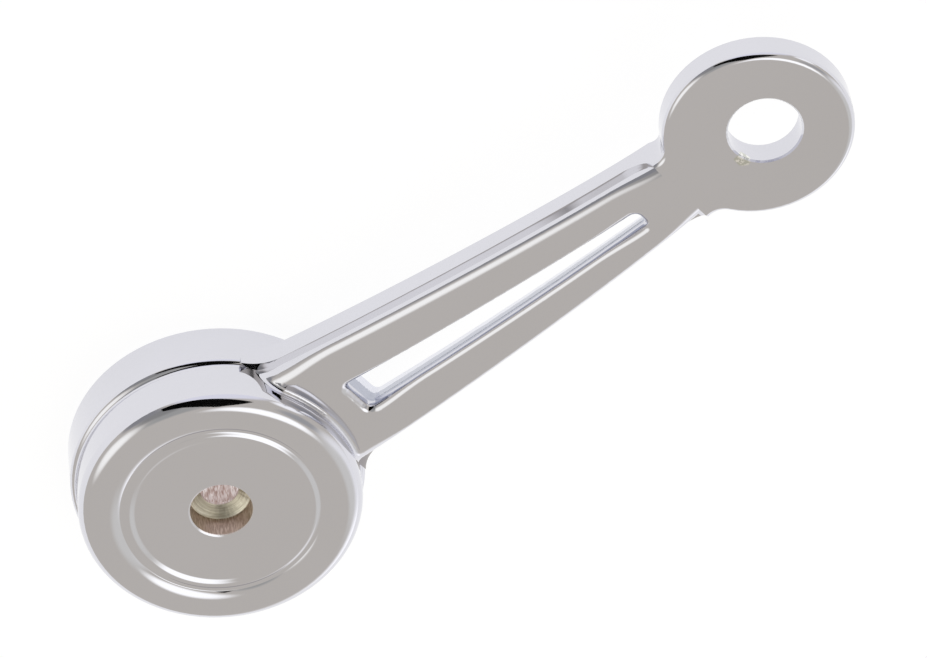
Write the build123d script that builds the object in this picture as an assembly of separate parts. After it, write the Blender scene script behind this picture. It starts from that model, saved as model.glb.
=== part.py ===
"""Window crank handle: one zinc die casting, chrome plated.

Frame: +Z points from the door towards the room, +X runs along the arm from the hub to the eye,
and the origin is on the hub axis, in the plane of the hub's door-side face. Millimetres.
"""
import math
import os

from build123d import *

# ---- driving sizes ----

# hub, a stepped disc
hub_radius = 21.2            # lower tier
hub_foot_edge = 0.5          # door-side edge
hub_face_height = 15.6       # dished face round the screw hole
collar_step = 0.8            # how far the upper tier is set in
collar_height = 6.9          # dished face down to the foot of the upper tier
shoulder_roll_share = 0.6    # part of that step taken by the lower tier's rolled edge
shoulder_slope = 30.0        # degrees from level at which the roll turns up to the collar

# rolled rim of the hub face, and the bead inside it
rim_rise = 0.6               # crest above the dished face
rim_round = 2.7              # outer edge
rim_crest_width = 0.4        # level crest inside that round
rim_flank_run = 2.9          # slope from the crest down to the dished face
bead_inset = 1.3             # bead's top, from the foot of that slope
bead_rise = 0.22
bead_run = 0.8               # bead's top down to the dish

# screw hole and drive socket
screw_well_radius = 4.5
screw_well_depth = 3.9
screw_well_edge = 0.25
screw_hole_radius = 2.8
screw_cone_depth = 1.2
screw_lip = 0.5
socket_root_radius = 4.35
socket_tip_radius = 4.0
socket_teeth = 28
socket_lead_in = 0.6

# arm, an arched bar that rises towards the room
reach = 100.0                # hub axis to eye hole
eye_rise = 6.0               # eye face above the hub's dished face
arm_drop = 4.4               # arm face where the arch starts, below the dished face
arm_tuck = 7.2               # how far inside the hub's wall the arch starts
neck_length = 15.0           # eye hole back to where the arch has run out level
arch_lift_run = 0.35         # part of the arch's run over which it leaves the hub straight
arch_lift_rise = 0.57        # part of its rise gained there
arch_level_run = 0.83        # part of its run from which it heads level for the neck
arm_width_root = 21.4        # upper tier, where the arch starts
arm_width_neck = 10.8        # upper tier, where it has run out
arm_tier = 3.2               # height of the upper tier
arm_depth_root = 6.9         # both tiers
arm_depth_neck = 5.9
arm_edge_round = 2.6         # rolled long edges of the upper tier
ledge = 0.7                  # width of the step between the tiers
ledge_climb = 5.3            # run over which that step climbs to the eye's face
hub_flare = 7.0              # sweep of the lower tier into the hub's wall
collar_flare = 5.0           # sweep of the upper tier into the collar
collar_bite = 0.4            # how far inside the collar's wall that sweep would end
collar_corner = 0.7          # fillet all along that joint

# slot
slot_from_hub = 5.3
slot_from_eye = 22.0         # from the eye hole
slot_width_hub = 5.5
slot_width_eye = 2.5
slot_waist_depth = 2.2       # depth of the narrowest line
slot_flare = 1.7             # how far each wall falls back below the waist
slot_corner = 0.9
slot_edge_round = 1.5
slot_stations = 6            # sections, after the first, that the slot is lofted through

# eye
eye_radius = 13.4
eye_thickness = 4.2
eye_edge_round = 1.1
eye_hole_radius = 5.15
eye_hole_edge = 0.25
eye_hole_offset = 1.06       # the hole sits outboard of the disc's own centre
neck_corner = 2.5            # soft corners where the arm meets the eye
neck_ramp = 4.0              # run of the underside from the arm up to the thinner eye

# ---- worked-out sizes ----

collar_radius = hub_radius - collar_step
collar_foot_height = hub_face_height - collar_height
eye_face_height = hub_face_height + eye_rise
eye_back_height = eye_face_height - eye_thickness
eye_centre = reach - eye_hole_offset
arm_root = hub_radius - arm_tuck
arm_root_height = hub_face_height - arm_drop
arm_level = reach - neck_length
slot_start = hub_radius + slot_from_hub
slot_end = reach - slot_from_eye
socket_roof = hub_face_height - screw_well_depth - screw_cone_depth - screw_lip
overlap = 1.0                # how far cutting tools and hidden ends run past the metal
touching = 0.01              # within this, an edge lies on a face
quarter_pull = 0.55          # how far a Bezier's handles reach towards the corner of a quarter round
halvings = 40                # of the search for a place along a curve


def hub_blank():
    """Both tiers of the hub with its rolled shoulder, rolled rim, bead and dished face."""
    slope = math.radians(shoulder_slope)
    roll_run = collar_step * shoulder_roll_share
    roll = roll_run / (1 - math.sin(slope))
    hollow_rise = (collar_step - roll_run) * math.tan((slope + math.pi / 2) / 2)
    knee = (hub_radius - roll_run, collar_foot_height - hollow_rise)
    roll_start = (hub_radius, knee[1] - roll * math.cos(slope))
    crest = hub_face_height + rim_rise
    rim_start = (collar_radius, crest - rim_round)
    rim_end = (collar_radius - rim_round, crest)
    crest_end = (rim_end[0] - rim_crest_width, crest)
    flank_end = (crest_end[0] - rim_flank_run, hub_face_height)
    bead_top = (flank_end[0] - bead_inset, hub_face_height + bead_rise)
    dish_edge = (bead_top[0] - bead_run, hub_face_height)
    outline = [
        Polyline((0, 0), (hub_radius - hub_foot_edge, 0), (hub_radius, hub_foot_edge), roll_start),
        RadiusArc(roll_start, knee, -roll),
        Polyline(knee, (collar_radius, collar_foot_height), rim_start),
        RadiusArc(rim_start, rim_end, -rim_round),
        Polyline(rim_end, crest_end, flank_end, bead_top, dish_edge, (0, hub_face_height), (0, 0)),
    ]
    return revolve(Plane.XZ * make_face(outline), Axis.Z)


def arch(depth_root, depth_neck):
    """Side-view curve of the arm, lowered by a depth at each end."""
    start = (arm_root, arm_root_height - depth_root)
    end = (arm_level, eye_face_height - depth_neck)
    span = arm_level - arm_root
    rise = end[1] - start[1]
    lift = (start[0] + arch_lift_run * span, start[1] + arch_lift_rise * rise)
    level = (start[0] + arch_level_run * span, end[1])
    return Bezier(start, lift, level, end)


def arch_share(curve, x):
    """How far along the curve it is at a distance x from the hub axis."""
    low, high = 0.0, 1.0
    for _ in range(halvings):
        middle = (low + high) / 2
        if (curve @ middle).X < x:
            low = middle
        else:
            high = middle
    return low


def arch_height(x, depth_root=0.0, depth_neck=0.0):
    """Height of that curve at a distance x from the hub axis."""
    curve = arch(depth_root, depth_neck)
    return (curve @ arch_share(curve, x)).Y


def half_width(x):
    """Half width of the arm's upper tier."""
    share = (x - arm_root) / (arm_level - arm_root)
    return (arm_width_root + share * (arm_width_neck - arm_width_root)) / 2


def bar_plan(extra):
    """The arm's tapering plan, from the hub axis to the middle of the eye."""
    near = half_width(0) + extra
    far = half_width(eye_centre) + extra
    return make_face(Polyline((0, -near), (eye_centre, -far), (eye_centre, far), (0, near), close=True))


def as_tall(plan):
    """A plan extruded from the hub's foot to past the eye's face."""
    return extrude(plan, eye_face_height + overlap)


def right_across(outline):
    """A side view extruded past both sides of the handle."""
    return extrude(Plane.XZ * make_face(outline), 2 * hub_radius, both=True)


def is_on_circle(place, centre_x, radius):
    return abs(math.hypot(place.X - centre_x, place.Y) - radius) < touching


def corners_on(plan, centre_x, radius):
    """Corners of a plan where a round part meets the arm."""
    return [v for v in plan.vertices() if is_on_circle(v, centre_x, radius) and abs(v.Y) > touching]


def flared_plan(extra, disc_radius, flare):
    """The arm's plan swept into the rim of a disc round the hub axis, from where it leaves it."""
    plan = Sketch() + bar_plan(extra) + Circle(disc_radius)
    plan = fillet(corners_on(plan, 0, disc_radius), flare)
    leaves = min(v.X for v in corners_on(plan, 0, disc_radius))
    beyond = Rectangle(2 * reach, 2 * hub_radius, align=(Align.MIN, Align.CENTER))
    return plan & Pos(leaves, 0) * beyond


def lower_plan():
    """Plan of the wider tier and the eye, with soft corners between them."""
    plan = Sketch() + flared_plan(ledge, hub_radius, hub_flare) + Pos(eye_centre, 0) * Circle(eye_radius)
    return fillet(corners_on(plan, eye_centre, eye_radius), neck_corner)


def lower_tier():
    """The wider, door-side half of the arm, whose step climbs to the eye's face, and the eye."""
    seat = arch(arm_tier, arm_tier)
    seat = seat.trim(0, arch_share(seat, arm_level - ledge_climb))
    foot = arch(arm_depth_root, arm_depth_neck)
    climb_start = seat @ 1
    climb_run = (seat % 1) * (ledge_climb * quarter_pull)
    climb_end = (arm_level, eye_face_height)
    climb_turn = (arm_level, eye_face_height - (eye_face_height - climb_start.Y) * quarter_pull)
    tip = eye_centre + eye_radius + overlap
    outline = [
        seat,
        Bezier(climb_start, climb_start + climb_run, climb_turn, climb_end),
        Polyline(climb_end, (tip, eye_face_height), (tip, eye_back_height)),
        Polyline((tip, eye_back_height), (arm_level + neck_ramp, eye_back_height), foot @ 1),
        foot,
        Polyline(foot @ 0, (0, (foot @ 0).Y), (0, (seat @ 0).Y), seat @ 0),
    ]
    tier = right_across(outline) & as_tall(lower_plan())
    rim = [
        e for e in tier.edges()
        if abs((e @ 0.5).Z - eye_face_height) < touching and (e @ 0.5).X > arm_level + touching
    ]
    return fillet(rim, eye_edge_round)


def upper_tier():
    """The narrower, room-side half, with its long edges rolled over, up to the collar's wall."""
    face = arch(0, 0)
    seat = arch(arm_tier + overlap, arm_tier + overlap)
    outline = [
        face,
        Polyline(face @ 1, (eye_centre, (face @ 1).Y), (eye_centre, (seat @ 1).Y), seat @ 1),
        seat,
        Polyline(seat @ 0, (0, (seat @ 0).Y), (0, (face @ 0).Y), face @ 0),
    ]
    tier = right_across(outline) & as_tall(flared_plan(0, collar_radius - collar_bite, collar_flare))
    tier = fillet([e for e in tier.edges() if is_top_long_edge(e)], arm_edge_round)
    collar = as_tall(Circle(collar_radius))
    joined = tier + collar
    return fillet([e for e in joined.edges() if is_collar_joint(e)], collar_corner) - collar


def is_top_long_edge(edge):
    middle = edge @ 0.5
    height = arch_height(min(max(middle.X, arm_root), arm_level))
    across_arm = edge.bounding_box().size.X < touching
    on_side = abs(middle.Y) > half_width(middle.X) - touching
    return on_side and not across_arm and abs(middle.Z - height) < touching


def is_collar_joint(edge):
    """True on the edges where the upper tier meets the collar's wall."""
    places = [edge @ share for share in (0, 0.25, 0.5, 0.75, 1)]
    middle = places[2]
    over_seat = middle.Z > arch_height(middle.X, arm_tier, arm_tier)
    on_arm = middle.X > 0 and abs(middle.Y) > touching and over_seat
    return on_arm and all(is_on_circle(place, 0, collar_radius) for place in places)


def slot_half_width(x):
    share = (x - slot_start) / (slot_end - slot_start)
    return (slot_width_hub + share * (slot_width_eye - slot_width_hub)) / 2


def slot_cutter():
    """A tapering slot with a waist: plumb above it, falling back towards the door below it."""
    sections = []
    for station in range(slot_stations + 1):
        x = slot_start + (slot_end - slot_start) * station / slot_stations
        wide = slot_half_width(x)
        top = arch_height(x) + overlap
        waist = arch_height(x) - slot_waist_depth
        foot = arch_height(x, arm_depth_root, arm_depth_neck)
        floor = foot - overlap
        base = wide + slot_flare * (waist - floor) / (waist - foot)
        corners = [(wide, top), (wide, waist), (base, floor), (-base, floor), (-wide, waist), (-wide, top)]
        plane = Plane(origin=(x, 0, 0), x_dir=(0, 1, 0), z_dir=(1, 0, 0))
        sections.append(plane * make_face(Polyline(*corners, close=True)))
    cutter = loft(sections)
    return fillet([e for e in cutter.edges() if is_end_corner(e)], slot_corner)


def is_end_corner(edge):
    size = edge.bounding_box().size
    return size.X < touching and size.Z > size.Y


def cut_slot(body):
    body = body - slot_cutter()
    return fillet([e for e in body.edges() if is_slot_mouth(e)], slot_edge_round)


def is_slot_mouth(edge):
    middle = edge @ 0.5
    in_length = slot_start - touching < middle.X < slot_end + touching
    in_width = abs(middle.Y) < slot_width_hub / 2 + touching
    return in_length and in_width and abs(middle.Z - arch_height(middle.X)) < touching


def drill(body):
    """Screw well, its cone, the screw hole, the toothed drive socket behind it, and the eye's hole."""
    cone_top = hub_face_height - screw_well_depth
    cone_foot = cone_top - screw_cone_depth
    well = Polyline(
        (0, cone_foot - overlap),
        (screw_hole_radius, cone_foot - overlap),
        (screw_hole_radius, cone_foot),
        (screw_well_radius, cone_top),
        (screw_well_radius, hub_face_height - screw_well_edge),
        (screw_well_radius + screw_well_edge + overlap, hub_face_height + overlap),
        (0, hub_face_height + overlap),
        close=True,
    )
    lead_in = Polyline(
        (0, -overlap),
        (socket_root_radius + socket_lead_in + overlap, -overlap),
        (socket_root_radius, socket_lead_in),
        (0, socket_lead_in),
        close=True,
    )
    wide = eye_hole_radius + eye_hole_edge + overlap
    eye_hole = Polyline(
        (0, eye_back_height - overlap),
        (wide, eye_back_height - overlap),
        (eye_hole_radius, eye_back_height + eye_hole_edge),
        (eye_hole_radius, eye_face_height - eye_hole_edge),
        (wide, eye_face_height + overlap),
        (0, eye_face_height + overlap),
        close=True,
    )
    body -= revolve(Plane.XZ * make_face(well), Axis.Z)
    body -= extrude(socket_plan(), socket_roof)
    body -= revolve(Plane.XZ * make_face(lead_in), Axis.Z)
    return body - Pos(reach, 0) * revolve(Plane.XZ * make_face(eye_hole), Axis.Z)


def socket_plan():
    """Ring of pointed teeth."""
    points = []
    for tooth in range(socket_teeth):
        for share, radius in ((0, socket_tip_radius), (0.5, socket_root_radius)):
            turn = 2 * math.pi * (tooth + share) / socket_teeth
            points.append((radius * math.cos(turn), radius * math.sin(turn)))
    return make_face(Polyline(*points, close=True))


def crank_handle():
    arm = cut_slot(lower_tier() + upper_tier())
    return drill(hub_blank() + arm)


if __name__ == "__main__":
    os.makedirs("parts", exist_ok=True)
    export_step(crank_handle(), "parts/crank_handle.step")
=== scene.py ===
import bisect
import math

import bmesh
import bpy
from mathutils import Matrix, Vector


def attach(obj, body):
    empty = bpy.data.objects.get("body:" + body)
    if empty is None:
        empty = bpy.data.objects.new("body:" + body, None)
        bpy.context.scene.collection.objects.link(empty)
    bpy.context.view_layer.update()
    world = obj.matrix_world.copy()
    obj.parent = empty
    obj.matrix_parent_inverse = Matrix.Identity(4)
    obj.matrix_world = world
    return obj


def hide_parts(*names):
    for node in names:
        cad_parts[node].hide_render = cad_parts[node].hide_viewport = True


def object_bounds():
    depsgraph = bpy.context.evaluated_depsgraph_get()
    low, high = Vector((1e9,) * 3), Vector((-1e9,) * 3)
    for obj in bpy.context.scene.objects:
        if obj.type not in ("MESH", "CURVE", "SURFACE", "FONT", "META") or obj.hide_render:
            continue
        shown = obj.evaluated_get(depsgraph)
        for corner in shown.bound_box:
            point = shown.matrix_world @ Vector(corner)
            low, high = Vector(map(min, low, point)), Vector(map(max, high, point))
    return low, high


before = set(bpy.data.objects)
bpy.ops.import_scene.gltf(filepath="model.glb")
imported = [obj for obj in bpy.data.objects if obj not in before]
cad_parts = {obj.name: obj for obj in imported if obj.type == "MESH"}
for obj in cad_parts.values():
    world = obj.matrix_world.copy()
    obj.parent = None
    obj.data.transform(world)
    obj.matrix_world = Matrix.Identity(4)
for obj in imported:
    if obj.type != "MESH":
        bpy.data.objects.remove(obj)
cad_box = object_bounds()

# ---- sizes of the handle, in millimetres ----
CASTING = "crank_handle"

# hub
HUB_RADIUS = 21.2
COLLAR_RADIUS = 20.4
HUB_FACE = 15.6
SHOULDER_ROLL = 0.96     # radius of the lower tier's rolled edge
ROLL_HEIGHT = 7.314      # where that roll starts
KNEE = (20.72, 8.146)    # where it ends, as radius and height
KNEE_LEAN = 30           # degrees from upright that the plating faces there
RIM_CREST = 16.2
RIM_ROUND = 2.7

# turned profile of the hub's face, as radii and heights
CREST_EDGE = 17.7        # where the rim starts to fall towards the middle
FLANK_FOOT = 14.5
FLANK_CURVE = 3.4        # the flank is steepest at its foot
BEAD_FOOT = 14.3
BEAD_TOP = 13.35
BEAD_RISE = 0.27
DISH_EDGE = 12.2
RING_COLUMNS = 240       # facets round the turned ring
RING_ROWS = 36           # and from its crest down to the dish
RING_LAP = 0.3           # how far it runs on into the dish

# bore
WELL_RADIUS = 4.5
WELL_MOUTH = 4.75
CONE_TOP = 11.7
CONE_FOOT = 10.5
SCREW_HOLE = 2.8

# arm
ARCH_START = 14.0
ARCH_END = 85.0
ARCH_LOW = 11.2
ARCH_LIFT = (0.35, 0.57)  # how far the arch leaves the hub straight, as parts of its run and rise
ARCH_LEVEL = 0.83        # part of its run from which it heads level for the neck
ARM_WIDTHS = (21.4, 10.8)
LEDGE = 0.7
CROWN = 2.6              # round on the arm's long edges
SLOT = (26.5, 78.0)
SLOT_WIDTHS = (5.5, 2.5)
SLOT_CORNER = 1.0        # a little more than its corners take at each end
MOUTH = 1.5              # round on the slot's mouth
EASE = 0.7               # how far polishing has flattened the rounds beside the arm's face
EASE_RUN = 9.0           # and over what length that sets in from each end

# eye
EYE_FACE = 21.6
EYE_BACK = 17.4
EYE_CENTRE = 98.94
EYE_RADIUS = 13.4
EYE_ROUND = 1.1
EYE_HOLE = (100.0, 5.15)
HOLE_EDGE = 0.3          # reach of the small chamfers on the hole and on the well
HOLE_LEAN = (-0.93, 0.37)  # how far the hole's chamfer faces outward (here inward) and up
WELL_LEAN = (-0.38, 0.92)  # and the well's

METRE = 1000             # millimetres in a metre
ON = 0.01                # a place this near a surface lies on it
NEAR = 0.02              # and this near a rounded one, whose facets cut its corners
ROLL_STEPS = 5           # tries that bring a rolled ball level with a place
MISS = 0.05              # a place further than this from a round or from an edge isn't on it
BESIDE = 0.1             # how far beside a round it is still looked for
BELOW = 0.3              # and how far below it, on the sloping arm
LEAST_LEAN = 0.01        # in radians; a direction that leans less than this from the face's is left
SAME_PLACE = 2e-7        # metres within which the mesh's loose corners are one
SHARP = 34               # degrees past which an edge shows as a crease
EVEN_WEIGHT = 50         # neither large nor small faces count for more than their area
LIKENESS = 0.88          # cosine of the widest turn from the mesh's own direction to the true one


# ---- camera ----
def put_camera(place, aim, roll, lens):
    data = bpy.data.cameras.new("camera")
    camera = bpy.data.objects.new("camera", data)
    bpy.context.scene.collection.objects.link(camera)
    data.lens = lens
    data.sensor_width = 36
    data.clip_start = 0.05
    data.clip_end = 20
    camera.location = place
    look = (Vector(aim) - Vector(place)).to_track_quat("-Z", "Y")
    camera.rotation_mode = "QUATERNION"
    camera.rotation_quaternion = look @ Matrix.Rotation(math.radians(roll), 4, "Z").to_quaternion()
    bpy.context.scene.camera = camera
    return camera


# ---- the forms that the plating follows ----
def arch_point(share):
    """Side view of the arm's face: distance from the hub axis and height, and which way it runs."""
    span = ARCH_END - ARCH_START
    rise = EYE_FACE - ARCH_LOW
    xs = (ARCH_START, ARCH_START + ARCH_LIFT[0] * span, ARCH_START + ARCH_LEVEL * span, ARCH_END)
    zs = (ARCH_LOW, ARCH_LOW + ARCH_LIFT[1] * rise, EYE_FACE, EYE_FACE)
    rest = 1 - share
    weights = (rest**3, 3 * rest**2 * share, 3 * rest * share**2, share**3)
    slopes = (-3 * rest**2, 3 * rest**2 - 6 * rest * share, 6 * rest * share - 3 * share**2, 3 * share**2)
    x = sum(w * v for w, v in zip(weights, xs))
    z = sum(w * v for w, v in zip(weights, zs))
    run = sum(w * v for w, v in zip(slopes, xs))
    climb = sum(w * v for w, v in zip(slopes, zs))
    return x, z, climb / run


def arch(x):
    """Height and slope of the arm's face at a distance from the hub axis."""
    if x >= ARCH_END:
        return EYE_FACE, 0.0
    after = min(max(bisect.bisect(ARCH_PLACES, x), 1), len(ARCH_PLACES) - 1)
    x0, z0, slope0 = ARCH_POINTS[after - 1]
    x1, z1, slope1 = ARCH_POINTS[after]
    share = (x - x0) / (x1 - x0)
    return z0 + share * (z1 - z0), slope0 + share * (slope1 - slope0)


ARCH_STEPS = 600
ARCH_POINTS = [arch_point(step / ARCH_STEPS) for step in range(ARCH_STEPS + 1)]
ARCH_PLACES = [point[0] for point in ARCH_POINTS]


def between(x, ends, values):
    return values[0] + (x - ends[0]) / (ends[1] - ends[0]) * (values[1] - values[0])


def arm_side(x):
    return between(x, (ARCH_START, ARCH_END), ARM_WIDTHS) / 2


def slot_side(x):
    return between(x, SLOT, SLOT_WIDTHS) / 2


def hub_face_height(radius):
    """Rim crest, flank, bead and dish of the hub's face."""
    if radius >= FLANK_FOOT:
        share = min(1.0, (radius - FLANK_FOOT) / (CREST_EDGE - FLANK_FOOT))
        return HUB_FACE + (RIM_CREST - HUB_FACE) * (1 - (1 - share) ** FLANK_CURVE)
    run = BEAD_FOOT - BEAD_TOP if radius > BEAD_TOP else BEAD_TOP - DISH_EDGE
    share = min(1.0, abs(radius - BEAD_TOP) / run)
    return HUB_FACE + BEAD_RISE * (0.5 + 0.5 * math.cos(math.pi * share))


def radial(place, centre_x, out, up):
    """A direction that leans out from an upright axis and up."""
    across = Vector((place.x - centre_x, place.y))
    across.normalize()
    return Vector((across.x * out, across.y * out, up)).normalized()


def rolled_edge(place, side, side_slope, inward, radius):
    """Direction away from the middle of a ball rolled along the arm's face and an upright side."""
    x = place.x
    for _ in range(ROLL_STEPS):
        height, slope = arch(x)
        tilt = math.hypot(1, slope)
        centre_x = x + radius * slope / tilt
        lean = math.hypot(1, side_slope)
        centre = Vector((centre_x, side(centre_x) + inward * radius * lean, height - radius / tilt))
        along = Vector((1, side_slope, slope)).normalized()
        x += (place - centre).dot(along)
    away = place - centre
    if abs(away.length - radius) > MISS:
        return None
    return away.normalized()


def eased(x, away, ends):
    """Polishing has flattened a round's top, so it turns quickest beside the wall."""
    slope = arch(x)[1]
    face = Vector((-slope, 0, 1)).normalized()
    lean = face.angle(away)
    if lean < LEAST_LEAN:
        return away
    inside = min(1.0, max(0.0, min(x - ends[0], ends[1] - x) / EASE_RUN))
    power = 1 + EASE * inside * inside * (3 - 2 * inside)
    quarter = math.pi / 2
    turned = quarter * min(1.0, lean / quarter) ** power
    return (Matrix.Rotation(turned, 3, face.cross(away)) @ face).normalized()


ROUNDS = [
    # centre x, radius of the ring, height, radius of the round
    (0.0, COLLAR_RADIUS - RIM_ROUND, RIM_CREST - RIM_ROUND, RIM_ROUND),
    (0.0, HUB_RADIUS - SHOULDER_ROLL, ROLL_HEIGHT, SHOULDER_ROLL),
    (EYE_CENTRE, EYE_RADIUS - EYE_ROUND, EYE_FACE - EYE_ROUND, EYE_ROUND),
]
WALLS = [
    # centre x, radius, outward or inward
    (0.0, HUB_RADIUS, 1),
    (0.0, COLLAR_RADIUS, 1),
    (EYE_CENTRE, EYE_RADIUS, 1),
    (EYE_HOLE[0], EYE_HOLE[1], -1),
    (0.0, WELL_RADIUS, -1),
    (0.0, SCREW_HOLE, -1),
]
LEVELS = (0.0, HUB_FACE, RIM_CREST, EYE_BACK, EYE_FACE)


def exact_candidates(place, normal):
    """Directions that the true surfaces through a place could face."""
    for centre_x, ring, height, radius in ROUNDS:
        out = math.hypot(place.x - centre_x, place.y) - ring
        up = place.z - height
        if abs(math.hypot(out, up) - radius) < NEAR and out > -NEAR and up > -NEAR:
            yield radial(place, centre_x, out, up)
    for centre_x, radius, sense in WALLS:
        if abs(math.hypot(place.x - centre_x, place.y) - radius) < ON:
            yield radial(place, centre_x, sense, 0)
    for level in LEVELS:
        if abs(place.z - level) < ON / 2:
            yield Vector((0, 0, math.copysign(1, normal.z)))
    from_hole = math.hypot(place.x - EYE_HOLE[0], place.y) - EYE_HOLE[1]
    if -ON < from_hole < HOLE_EDGE and place.z > EYE_FACE - HOLE_EDGE:
        yield radial(place, EYE_HOLE[0], *HOLE_LEAN)
    reach = math.hypot(place.x, place.y)
    if WELL_MOUTH - HOLE_EDGE < reach < WELL_MOUTH + ON and place.z > HUB_FACE - HOLE_EDGE:
        yield radial(place, 0, *WELL_LEAN)
    if abs(reach - KNEE[0]) < ON and abs(place.z - KNEE[1]) < ON:
        yield radial(place, 0, math.sin(math.radians(KNEE_LEAN)), math.cos(math.radians(KNEE_LEAN)))
    if DISH_EDGE - ON < reach < CREST_EDGE + ON and place.z > HUB_FACE - ON:
        rise = (hub_face_height(reach + ON) - hub_face_height(reach - ON)) / (2 * ON)
        yield radial(place, 0, -rise, 1)
    if not COLLAR_RADIUS < place.x < ARCH_END:
        return
    height, slope = arch(place.x)
    if abs(place.z - height) < NEAR:
        yield Vector((-slope, 0, 1)).normalized()
    sign = math.copysign(1, place.y)
    mirrored = Vector((place.x, abs(place.y), place.z))
    taper = (ARM_WIDTHS[1] - ARM_WIDTHS[0]) / 2 / (ARCH_END - ARCH_START)
    for extra in (0.0, LEDGE):
        if abs(mirrored.y - arm_side(place.x) - extra) < ON:
            yield Vector((-taper, sign, 0)).normalized()
    if place.z < height - CROWN - BELOW:
        return
    if mirrored.y > arm_side(place.x) - CROWN - BESIDE:
        away = rolled_edge(mirrored, arm_side, taper, -1, CROWN)
        if away:
            away = eased(place.x, away, (COLLAR_RADIUS, ARCH_END))
            yield Vector((away.x, away.y * sign, away.z))
    slot_taper = (SLOT_WIDTHS[1] - SLOT_WIDTHS[0]) / 2 / (SLOT[1] - SLOT[0])
    straight = (SLOT[0] + SLOT_CORNER, SLOT[1] - SLOT_CORNER)
    if straight[0] < place.x < straight[1] and mirrored.y < slot_side(place.x) + MOUTH + BESIDE:
        away = rolled_edge(mirrored, slot_side, slot_taper, 1, MOUTH)
        if away:
            away = eased(place.x, away, straight)
            yield Vector((away.x, away.y * sign, away.z))


def exact_normal(place, normal):
    """The direction that the plating faces, taken from the true surface nearest to the mesh's own."""
    best, likeness = normal, LIKENESS
    for candidate in exact_candidates(place, normal):
        if candidate.dot(normal) > likeness:
            best, likeness = candidate, candidate.dot(normal)
    return best


def edges_round(work, ring):
    return [work.edges.get((vert, after)) for vert, after in zip(ring, ring[1:] + ring[:1])]


def turned_face(work):
    """Lay a finely turned ring over the hub's face in place of its few flat bands."""
    old = [
        face for face in work.faces
        if all(
            vert.co.z > (HUB_FACE - NEAR) / METRE
            and (WELL_MOUTH - MISS) / METRE < vert.co.xy.length < (COLLAR_RADIUS - RIM_ROUND + NEAR) / METRE
            for vert in face.verts
        )
    ]
    bmesh.ops.delete(work, geom=old, context="FACES")
    open_edges = [edge for edge in work.edges if edge.is_boundary]
    outer = [edge for edge in open_edges if edge.verts[0].co.xy.length > DISH_EDGE / METRE]
    inner = [edge for edge in open_edges if edge.verts[0].co.xy.length < DISH_EDGE / METRE]
    rings = []
    for row in range(RING_ROWS + 1):
        reach = CREST_EDGE - NEAR - (CREST_EDGE - DISH_EDGE + RING_LAP) * row / RING_ROWS
        height = hub_face_height(reach) if reach > DISH_EDGE else HUB_FACE
        ring = []
        for column in range(RING_COLUMNS):
            turn = 2 * math.pi * column / RING_COLUMNS
            point = (reach * math.cos(turn) / METRE, reach * math.sin(turn) / METRE, height / METRE)
            ring.append(work.verts.new(point))
        rings.append(ring)
    for upper, lower in zip(rings, rings[1:]):
        for column in range(RING_COLUMNS):
            after = (column + 1) % RING_COLUMNS
            work.faces.new((upper[column], upper[after], lower[after], lower[column]))
    bmesh.ops.bridge_loops(work, edges=outer + edges_round(work, rings[0]))
    bmesh.ops.bridge_loops(work, edges=inner + edges_round(work, rings[-1]))
    bmesh.ops.recalc_face_normals(work, faces=work.faces)


def casting():
    """The plated casting, on a smooth copy of its solid's mesh."""
    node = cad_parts[CASTING]
    mesh = node.data.copy()
    mesh.name = "handle"
    work = bmesh.new()
    work.from_mesh(mesh)
    bmesh.ops.remove_doubles(work, verts=work.verts, dist=SAME_PLACE)
    turned_face(work)
    for face in work.faces:
        face.smooth = True
    for edge in work.edges:
        edge.smooth = not edge.is_manifold or edge.calc_face_angle(0) < math.radians(SHARP)
    work.to_mesh(mesh)
    work.free()
    piece = bpy.data.objects.new("handle", mesh)
    bpy.context.scene.collection.objects.link(piece)
    weigh = piece.modifiers.new("weigh", "WEIGHTED_NORMAL")
    weigh.keep_sharp = True
    weigh.weight = EVEN_WEIGHT
    solid = bpy.data.meshes.new_from_object(piece.evaluated_get(bpy.context.evaluated_depsgraph_get()))
    piece.modifiers.remove(weigh)
    piece.data = solid
    places = [vert.co * METRE for vert in solid.vertices]
    normals = [
        exact_normal(places[loop.vertex_index], solid.corner_normals[loop.index].vector.copy())
        for loop in solid.loops
    ]
    solid.normals_split_custom_set(normals)
    solid.materials.clear()
    solid.materials.append(chrome_plate())
    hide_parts(CASTING)
    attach(piece, "root")
    return piece


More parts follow.
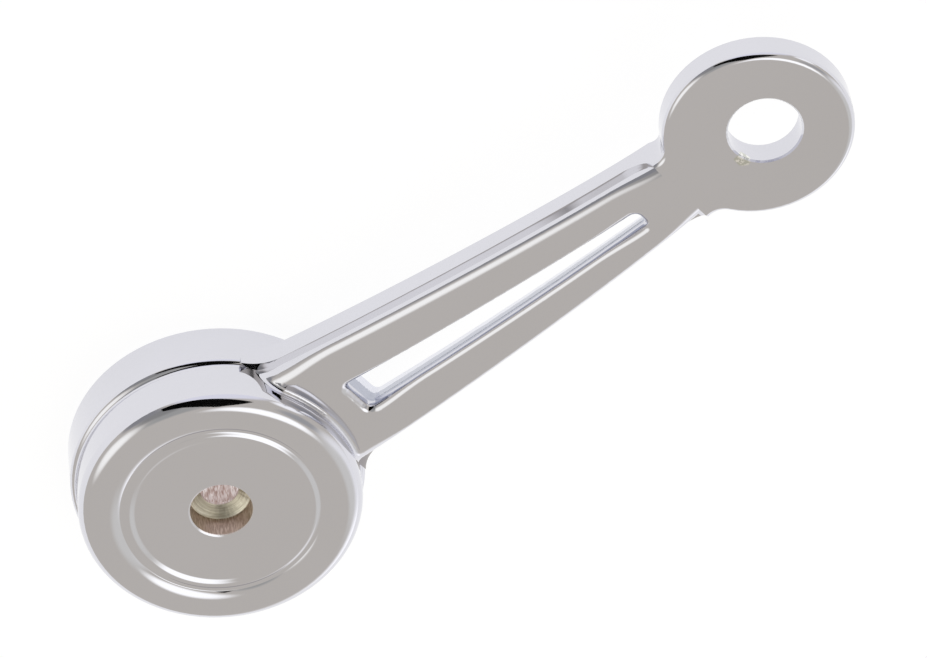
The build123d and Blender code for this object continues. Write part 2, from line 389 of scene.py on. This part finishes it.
# ---- nodes ----
class Tree:
    """Short words for building the nodes of a material or of the world."""

    def __init__(self, owner):
        owner.use_nodes = True
        self.nodes = owner.node_tree.nodes
        self.links = owner.node_tree.links

    def put(self, kind, label="", **settings):
        node = self.nodes.new(kind)
        node.label = label
        for name, value in settings.items():
            setattr(node, name, value)
        return node

    def feed(self, socket, value):
        if isinstance(value, bpy.types.NodeSocket):
            self.links.new(value, socket)
        else:
            socket.default_value = value

    def figure(self, operation, first, second=0.0, label=""):
        node = self.put("ShaderNodeMath", label, operation=operation)
        self.feed(node.inputs[0], first)
        self.feed(node.inputs[1], second)
        return node.outputs[0]

    def fade(self, value, start, end, low=0.0, high=1.0, label=""):
        node = self.put("ShaderNodeMapRange", label, interpolation_type="SMOOTHSTEP")
        for name, number in (("From Min", start), ("From Max", end), ("To Min", low), ("To Max", high)):
            node.inputs[name].default_value = number
        self.feed(node.inputs["Value"], value)
        return node.outputs["Result"]

    def blend(self, share, first, second, label=""):
        """Mix of two colours. The node's first sockets are for plain numbers, and 6, 7 and 2 for colours."""
        node = self.put("ShaderNodeMix", label, data_type="RGBA")
        self.feed(node.inputs["Factor"], share)
        self.feed(node.inputs[6], first)
        self.feed(node.inputs[7], second)
        return node.outputs[2]

    def blend_numbers(self, share, first, second, label=""):
        node = self.put("ShaderNodeMix", label, data_type="FLOAT")
        self.feed(node.inputs["Factor"], share)
        self.feed(node.inputs[2], first)
        self.feed(node.inputs[3], second)
        return node.outputs[0]

    def noise(self, place, scale, detail, label):
        node = self.put("ShaderNodeTexNoise", label)
        node.inputs["Scale"].default_value = scale
        node.inputs["Detail"].default_value = detail
        self.feed(node.inputs["Vector"], place)
        return node.outputs["Fac"]

    def stretched(self, place, scales, label):
        node = self.put("ShaderNodeVectorMath", label, operation="MULTIPLY")
        self.feed(node.inputs[0], place)
        node.inputs[1].default_value = scales
        return node.outputs[0]

    def bumped(self, height, distance, label, under=None, strength=1.0):
        """Bump over the bump under it, with its distance in metres."""
        node = self.put("ShaderNodeBump", label)
        node.inputs["Distance"].default_value = distance
        self.feed(node.inputs["Strength"], strength)
        self.feed(node.inputs["Height"], height)
        if under:
            self.feed(node.inputs["Normal"], under)
        return node.outputs["Normal"]


# ---- chrome ----
# metal in each place, at its darkest and lightest; the bore's warm tints are lightened as painted light, and
# the slot wall's two tones are painted reflection
CHROME = ((0.69, 0.69, 0.735, 1), (0.72, 0.72, 0.775, 1))
WELL_WALL_WITH_PAINTED_LIGHT = ((0.62, 0.52, 0.46, 1), (0.95, 0.86, 0.80, 1))
WELL_CONE_WITH_PAINTED_LIGHT = ((0.72, 0.67, 0.53, 1), (0.96, 0.92, 0.78, 1))
SOCKET_TEETH_WITH_PAINTED_LIGHT = ((0.60, 0.46, 0.42, 1), (0.99, 0.93, 0.92, 1))
SLOT_WALL_PAINTED_REFLECTION = ((0.45, 0.47, 0.55, 1), (0.78, 0.79, 0.86, 1))
SCUFFED = ((0.63, 0.64, 0.59, 1), (0.96, 0.95, 0.91, 1))

# limits over which each place fades in
BORE_WIDTH = (WELL_MOUTH, 4.6)
BORE_HEIGHT = (15.5, 15.2)
SLOT_SIDES = (3.2, 2.4)  # outside the slot's waist
SLOT_ENDS = (1.06, 1.02)  # along the slot, as a part of its half length
SLOT_TOP = (MOUTH, 1.9)  # depths below the arm's face
SLOT_FOOT = (7.0, 6.4)

STREAKS_ROUND = 14.0     # how closely the streaks stand round the bore
STREAKS_DOWN = 0.5       # and how soon they change on the way down
CHROME_ROUGHNESS = (0.045, 0.075)
SLOT_ROUGHNESS = 0.16
BORE_ROUGHNESS = 0.38
RIPPLE = 1.5e-5          # metres of slow unevenness left by casting and polishing
PEEL = 6e-7              # metres of fine unevenness in the plating
GRAIN = 4e-5             # metres of grain where the metal is as cast or as drilled
SLOT_GRAIN = 0.6         # part of it that the slot's walls have
PARTING = (5.0, 5.3)     # depth of the slot's ragged parting line below the arm's face, where the painted reflection turns from dark to light
RAGGED = 1.4             # and how far it wanders
FLAW = (EYE_HOLE[0] - 5.2, -1.6, EYE_FACE)
FLAW_REACH = (1.8, 1.5)  # distance, with the torn outline added, where it starts and where it is full


def bore_streaks(tree, x, y, z):
    """Streaks that run down the bore's wall."""
    turn = tree.figure("ARCTAN2", y, x, "angle round the hub")
    polar = tree.put("ShaderNodeCombineXYZ", "angle and height")
    tree.feed(polar.inputs[0], tree.figure("MULTIPLY", turn, STREAKS_ROUND))
    tree.feed(polar.inputs[1], tree.figure("MULTIPLY", z, STREAKS_DOWN))
    return tree.noise(polar.outputs[0], 1.3, 2, "streaks down the bore")


def in_bore(tree, place, z):
    """Where the screw well, its cone and the toothed socket are."""
    reach = tree.put("ShaderNodeVectorMath", "from the hub axis", operation="LENGTH")
    tree.feed(reach.inputs[0], tree.stretched(place, (1, 1, 0), "flattened"))
    inside = tree.fade(reach.outputs["Value"], *BORE_WIDTH, label="inside the bore")
    return tree.figure("MULTIPLY", inside, tree.fade(z, *BORE_HEIGHT, label="below the face"))


def bore_plating_and_painted_light(tree, place, z, streaks):
    """Thin, warm plating down the screw well, its cone and the toothed socket, its colours lightened as
    painted light that stands in for the light falling into the well.
    """
    rings = tree.noise(tree.stretched(place, (0.3, 0.3, 9), "squashed"), 1.0, 2, "turned rings")
    wall = tree.blend(tree.fade(streaks, 0.35, 0.7), *WELL_WALL_WITH_PAINTED_LIGHT, "well wall")
    cone = tree.blend(tree.fade(rings, 0.35, 0.65), *WELL_CONE_WITH_PAINTED_LIGHT, "cone")
    teeth = tree.blend(tree.fade(streaks, 0.35, 0.62), *SOCKET_TEETH_WITH_PAINTED_LIGHT, "socket teeth")
    metal = tree.blend(tree.fade(z, CONE_TOP + NEAR, CONE_TOP - NEAR), wall, cone)
    return tree.blend(tree.fade(z, CONE_FOOT + NEAR, CONE_FOOT - NEAR), metal, teeth)


def in_slot(tree, x, y, z):
    """Where the slot's walls are, below its rolled mouth, and how deep that is under the arm's face."""
    middle = (SLOT[0] + SLOT[1]) / 2
    half = (SLOT[1] - SLOT[0]) / 2
    low, mid, high = arch(SLOT[0])[0], arch(middle)[0], arch(SLOT[1])[0]
    along = tree.figure("DIVIDE", tree.figure("SUBTRACT", x, middle), half, "place along the slot")
    climb = tree.figure("MULTIPLY", along, (high - low) / 2)
    bow = tree.figure("MULTIPLY", tree.figure("MULTIPLY", along, along), (low + high) / 2 - mid)
    face = tree.figure("ADD", tree.figure("ADD", climb, bow), mid, "face height")
    depth = tree.figure("SUBTRACT", face, z, "depth below the face")
    widening = tree.figure("MULTIPLY", along, (SLOT_WIDTHS[1] - SLOT_WIDTHS[0]) / 4)
    waist = tree.figure("ADD", widening, sum(SLOT_WIDTHS) / 4)
    apart = tree.figure("SUBTRACT", tree.figure("ABSOLUTE", y), waist, "outside the slot's waist")
    limits = (
        tree.fade(depth, *SLOT_TOP),
        tree.fade(tree.figure("ABSOLUTE", along), *SLOT_ENDS),
        tree.fade(depth, *SLOT_FOOT),
    )
    walls = tree.fade(apart, *SLOT_SIDES)
    for limit in limits:
        walls = tree.figure("MULTIPLY", walls, limit, "in the slot")
    return walls, depth


def slot_painted_reflection(tree, place, depth):
    """Painted reflection on the slot's walls: darker above a ragged parting line, standing in for the dark
    surroundings that the wall mirrors, and lighter below it.
    """
    along = tree.stretched(place, (0.5, 2, 2), "along the slot")
    ragged = tree.noise(along, 1.6, 3, "ragged parting line")
    parting = tree.figure("ADD", depth, tree.figure("MULTIPLY", ragged, RAGGED))
    return tree.blend(tree.fade(parting, *PARTING), *SLOT_WALL_PAINTED_REFLECTION, "painted reflection, dark above the parting line")


def torn_plating(tree, place):
    """A small flaw in the plating, on the rim of the eye's hole: where it is, and its metal."""
    away = tree.put("ShaderNodeVectorMath", "away from the flaw", operation="DISTANCE")
    tree.feed(away.inputs[0], place)
    away.inputs[1].default_value = FLAW
    outline = tree.figure("ADD", away.outputs["Value"], tree.noise(place, 1.1, 3, "torn outline"))
    flaw = tree.fade(outline, *FLAW_REACH, label="flaw")
    bits = tree.fade(tree.noise(place, 2.2, 2, "torn bits"), 0.45, 0.55)
    return flaw, tree.blend(bits, *SCUFFED, "scuffed plating")


def chrome_plate():
    """Bright chrome, thin and warm inside the screw well, where its colours are lightened as painted light,
    and rougher as cast inside the slot, whose walls carry a painted reflection, dark above and light below.
    """
    material = bpy.data.materials.new("chrome_plate")
    tree = Tree(material)
    shader = tree.nodes["Principled BSDF"]
    shader.inputs["Metallic"].default_value = 1.0
    coordinates = tree.put("ShaderNodeTexCoord", "place")
    place = tree.stretched(coordinates.outputs["Object"], (METRE, METRE, METRE), "millimetres")
    split = tree.put("ShaderNodeSeparateXYZ", "x y z")
    tree.feed(split.inputs[0], place)
    x, y, z = split.outputs

    bore = in_bore(tree, place, z)
    streaks = bore_streaks(tree, x, y, z)
    walls, depth = in_slot(tree, x, y, z)
    flaw, scuffed = torn_plating(tree, place)

    plate = tree.blend(tree.noise(place, 0.05, 2, "drift"), *CHROME, "chrome")
    colour = tree.blend(flaw, plate, scuffed)
    # painted reflection: the slot's walls are darker above the ragged line and lighter below it
    colour = tree.blend(walls, colour, slot_painted_reflection(tree, place, depth))
    # painted light: the warm plating inside the bore is lightened to stand in for the light that falls into
    # the well
    colour = tree.blend(bore, colour, bore_plating_and_painted_light(tree, place, z, streaks))
    tree.feed(shader.inputs["Base Color"], colour)

    haze = tree.fade(tree.noise(place, 0.25, 2, "haze"), 0.3, 0.7, *CHROME_ROUGHNESS)
    rough = tree.blend_numbers(walls, haze, SLOT_ROUGHNESS)
    rough = tree.blend_numbers(bore, rough, BORE_ROUGHNESS)
    tree.feed(shader.inputs["Roughness"], rough)

    bare = tree.figure("MAXIMUM", bore, flaw, "bare of plating")
    bare = tree.figure("MAXIMUM", bare, tree.figure("MULTIPLY", walls, SLOT_GRAIN))
    grain = tree.figure("ADD", streaks, tree.noise(place, 1.5, 1, "cast grain"))
    ripple = tree.bumped(tree.noise(place, 0.12, 1, "casting ripple"), RIPPLE, "ripple")
    peel = tree.bumped(tree.noise(place, 0.9, 2, "plating peel"), PEEL, "peel", ripple)
    tree.feed(shader.inputs["Normal"], tree.bumped(grain, GRAIN, "grain", peel, bare))
    return material


# ---- studio ----
WHITE = (1, 1, 1, 1)
PAPER = (0.86, 0.86, 0.88, 1)
GLOW = 0.8               # share of the floor's white that doesn't wait for light, so its shadow stays faint
GLOW_STRENGTH = 1.12     # brings the floor, with what light adds, up to white
FLOOR_HALF = 1.5
FLOOR_GAP = 0.0001       # below the handle's foot
CEILING = (0.615, 0.582, 0.528, 1)
SKY = [
    # name, leaning towards (+X, +Y), half-angles of the core and of the edge, colour
    ("wall", (0, -105), (15, 46), (1.38, 1.38, 1.38, 1)),
    ("back wall", (66, 68), (25, 38), (0.92, 0.92, 1.0, 1)),
    ("dim side, high", (0, 30), (5, 20), (0.42, 0.42, 0.40, 1)),
    ("dim side, middle", (2, 58), (9, 24), (0.30, 0.30, 0.29, 1)),
    ("dim side, low", (-14, 80), (8, 20), (0.30, 0.30, 0.31, 1)),
    ("dim corner", (47, -17), (5, 18), (0.42, 0.42, 0.42, 1)),
    ("right wall", (33, -60), (14, 34), (1.0, 1.0, 1.0, 1)),
    ("left light", (-38, 36), (6, 24), (1.22, 1.21, 1.14, 1)),
    ("right light", (10, -13), (9, 20), (1.42, 1.42, 1.38, 1)),
    ("right glow", (12, -50), (6, 28), (0.74, 0.73, 0.69, 1)),
    ("far lamp", (80, 0), (5, 14), (1.2, 1.2, 1.2, 1)),
]
CLOTH_REACH = 1.6
CLOTH_CORNERS = [
    # leaning towards (+X, +Y)
    (10, 9), (26, 13), (51, 20), (49, 30), (36, 60), (15, 78), (6, 79), (4, 62), (12, 44), (12, 26),
]
CLOTH_BLACK = (0.004, 0.004, 0.004, 1)


def toward(tilt_x, tilt_y):
    """A direction leaning from straight up by these angles in degrees along +X and +Y."""
    lean = math.radians(math.hypot(tilt_x, tilt_y))
    turn = math.atan2(tilt_y, tilt_x)
    return Vector((math.sin(lean) * math.cos(turn), math.sin(lean) * math.sin(turn), math.cos(lean)))


def bright_paper():
    """White paper that keeps a faint shadow."""
    material = bpy.data.materials.new("bright_paper")
    tree = Tree(material)
    tree.nodes.clear()
    out = tree.put("ShaderNodeOutputMaterial")
    mix = tree.put("ShaderNodeMixShader")
    paper = tree.put("ShaderNodeBsdfDiffuse", "paper")
    paper.inputs["Color"].default_value = PAPER
    white = tree.put("ShaderNodeEmission", "white")
    white.inputs["Color"].default_value = WHITE
    white.inputs["Strength"].default_value = GLOW_STRENGTH
    path = tree.put("ShaderNodeLightPath").outputs
    seen = tree.figure("MAXIMUM", path["Is Camera Ray"], path["Is Glossy Ray"])
    seen = tree.figure("MAXIMUM", seen, path["Is Transmission Ray"])
    tree.feed(mix.inputs["Fac"], tree.figure("MULTIPLY", seen, GLOW))
    tree.feed(mix.inputs[1], paper.outputs["BSDF"])
    tree.feed(mix.inputs[2], white.outputs["Emission"])
    tree.feed(out.inputs["Surface"], mix.outputs["Shader"])
    return material


def sheet(name, corners, material):
    """A flat sheet that belongs to the studio."""
    mesh = bpy.data.meshes.new(name)
    mesh.from_pydata(corners, [], [tuple(range(len(corners)))])
    mesh.materials.append(material)
    board = bpy.data.objects.new(name, mesh)
    bpy.context.scene.collection.objects.link(board)
    return board


def floor(low):
    half = FLOOR_HALF
    corners = [(-half, -half, low), (half, -half, low), (half, half, low), (-half, half, low)]
    board = sheet("floor", corners, bright_paper())


def sky():
    """A pale studio with a warm grey ceiling, two soft lights overhead and a bright wall low on one side."""
    world = bpy.data.worlds.new("studio")
    bpy.context.scene.world = world
    tree = Tree(world)
    outward = tree.put("ShaderNodeTexCoord").outputs["Generated"]
    colour = CEILING
    for name, tilts, (core, edge), light in SKY:
        dot = tree.put("ShaderNodeVectorMath", operation="DOT_PRODUCT")
        dot.inputs[1].default_value = toward(*tilts)
        tree.feed(dot.inputs[0], outward)
        share = tree.fade(dot.outputs["Value"], math.cos(math.radians(edge)), math.cos(math.radians(core)))
        colour = tree.blend(share, colour, light, name)
    path = tree.put("ShaderNodeLightPath").outputs
    seen = tree.figure("MAXIMUM", path["Is Camera Ray"], path["Is Transmission Ray"])
    plain = tree.blend(seen, colour, WHITE, "white where it is looked at")
    tree.feed(tree.nodes["Background"].inputs["Color"], plain)


def black_cloth():
    material = bpy.data.materials.new("black_cloth")
    inputs = Tree(material).nodes["Principled BSDF"].inputs
    inputs["Base Color"].default_value = CLOTH_BLACK
    inputs["Roughness"].default_value = 1.0
    inputs["Specular IOR Level"].default_value = 0.0
    return material


def dark_cloth():
    """The dark cloth hung over the handle, which the plating mirrors as crisp black shapes."""
    corners = [toward(*tilts) * CLOTH_REACH for tilts in CLOTH_CORNERS]
    cloth = sheet("dark_cloth", corners, black_cloth())
    cloth.visible_camera = False
    cloth.visible_diffuse = False
    cloth.visible_shadow = False


CAMERA_PLACE = (0.37628, 0.49037, 0.80418)
CAMERA_AIM = (0.04679, 0.00146, 0.018)
CAMERA_ROLL = 171.36
CAMERA_LENS = 272.84

casting()
floor(cad_box[0].z - FLOOR_GAP)
sky()
dark_cloth()
put_camera(CAMERA_PLACE, CAMERA_AIM, CAMERA_ROLL, CAMERA_LENS)
bpy.context.scene.view_settings.view_transform = "Standard"
